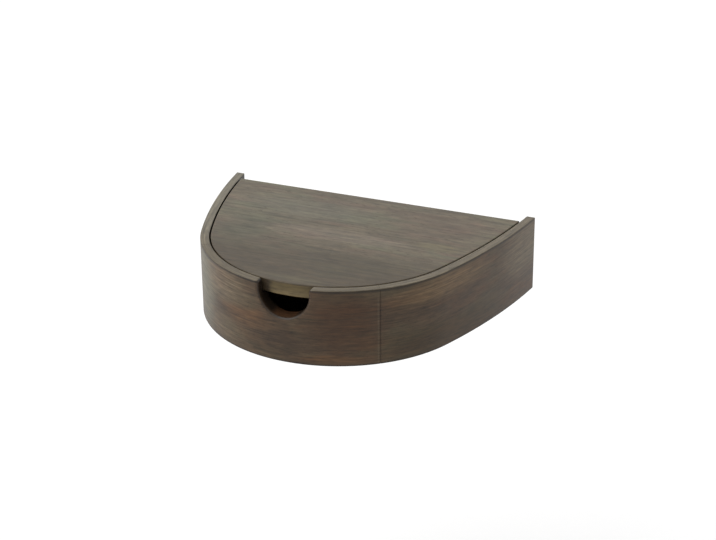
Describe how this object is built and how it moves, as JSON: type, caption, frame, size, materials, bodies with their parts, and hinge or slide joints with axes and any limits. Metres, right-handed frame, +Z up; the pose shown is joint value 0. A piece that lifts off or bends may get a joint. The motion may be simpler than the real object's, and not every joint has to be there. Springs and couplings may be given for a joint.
{
  "type": "bedside table",
  "caption": "Half-round wall-hung bedside table in stained wood, with a fixed top and a curved drawer that slides out by a finger notch.",
  "frame": {"origin": "midway between the two wall screws, at the wall", "axes": "+X to the right as seen from the room, +Y into the wall, +Z up"},
  "size_m": [0.45, 0.331, 0.105],
  "materials": {
    "top_wood": "grey-brown stained wood, satin",
    "rim_wood": "dark brown stained wood, satin",
    "box_wood": "stained wood, matt",
    "frame_wood": "stained wood, matt",
    "dowel_wood": "plain beech",
    "slide_steel": "zinc-plated sheet steel",
    "cage_steel": "pressed steel strip",
    "ball_steel": "polished steel balls",
    "screw_steel": "zinc-plated screws",
    "pad_rubber": "matt black rubber"
  },
  "bodies": {
    "carcass": {"wall_cleat": "frame_wood", "hanging_cleat": "frame_wood", "back_board": "frame_wood", "top_panel": "top_wood", "hanger_left": "frame_wood", "hanger_right": "frame_wood", "top_dowels": "dowel_wood", "hanger_screws": "screw_steel", "cleat_screws": "screw_steel", "stop_pads": "pad_rubber", "slide_outer_left": "slide_steel", "slide_outer_right": "slide_steel", "outer_slide_screws": "screw_steel"},
    "drawer": {"front_wall": "rim_wood", "left_wall": "rim_wood", "right_wall": "rim_wood", "seam_dowels": "dowel_wood", "drawer_bottom": "box_wood", "drawer_side_left": "box_wood", "drawer_side_right": "box_wood", "drawer_back": "box_wood", "side_screws": "screw_steel", "bottom_screws": "screw_steel", "slide_inner_left": "slide_steel", "slide_inner_right": "slide_steel", "inner_slide_screws": "screw_steel"},
    "middle_left": {"slide_middle_left": "slide_steel"},
    "outer_row_left": {"ball_cage_outer_left": "cage_steel", "balls_outer_left": "ball_steel"},
    "inner_row_left": {"ball_cage_inner_left": "cage_steel", "balls_inner_left": "ball_steel"},
    "middle_right": {"slide_middle_right": "slide_steel"},
    "outer_row_right": {"ball_cage_outer_right": "cage_steel", "balls_outer_right": "ball_steel"},
    "inner_row_right": {"ball_cage_inner_right": "cage_steel", "balls_inner_right": "ball_steel"}
  },
  "joints": [
    {"name": "drawer_slide", "type": "slide", "parent": "carcass", "child": "drawer", "axis": [0, -1, 0], "range_m": [0, 0.2]},
    {"name": "middle_left_slide", "type": "slide", "parent": "carcass", "child": "middle_left", "axis": [0, -1, 0], "range_m": [0, 0.1]},
    {"name": "outer_row_left_slide", "type": "slide", "parent": "carcass", "child": "outer_row_left", "axis": [0, -1, 0], "range_m": [0, 0.05]},
    {"name": "inner_row_left_slide", "type": "slide", "parent": "carcass", "child": "inner_row_left", "axis": [0, -1, 0], "range_m": [0, 0.15]},
    {"name": "middle_right_slide", "type": "slide", "parent": "carcass", "child": "middle_right", "axis": [0, -1, 0], "range_m": [0, 0.1]},
    {"name": "outer_row_right_slide", "type": "slide", "parent": "carcass", "child": "outer_row_right", "axis": [0, -1, 0], "range_m": [0, 0.05]},
    {"name": "inner_row_right_slide", "type": "slide", "parent": "carcass", "child": "inner_row_right", "axis": [0, -1, 0], "range_m": [0, 0.15]}
  ],
  "couplings": [
    {"joint": "middle_left_slide", "follows": "drawer_slide", "ratio": 0.5},
    {"joint": "outer_row_left_slide", "follows": "drawer_slide", "ratio": 0.25},
    {"joint": "inner_row_left_slide", "follows": "drawer_slide", "ratio": 0.75},
    {"joint": "middle_right_slide", "follows": "drawer_slide", "ratio": 0.5},
    {"joint": "outer_row_right_slide", "follows": "drawer_slide", "ratio": 0.25},
    {"joint": "inner_row_right_slide", "follows": "drawer_slide", "ratio": 0.75}
  ]
}
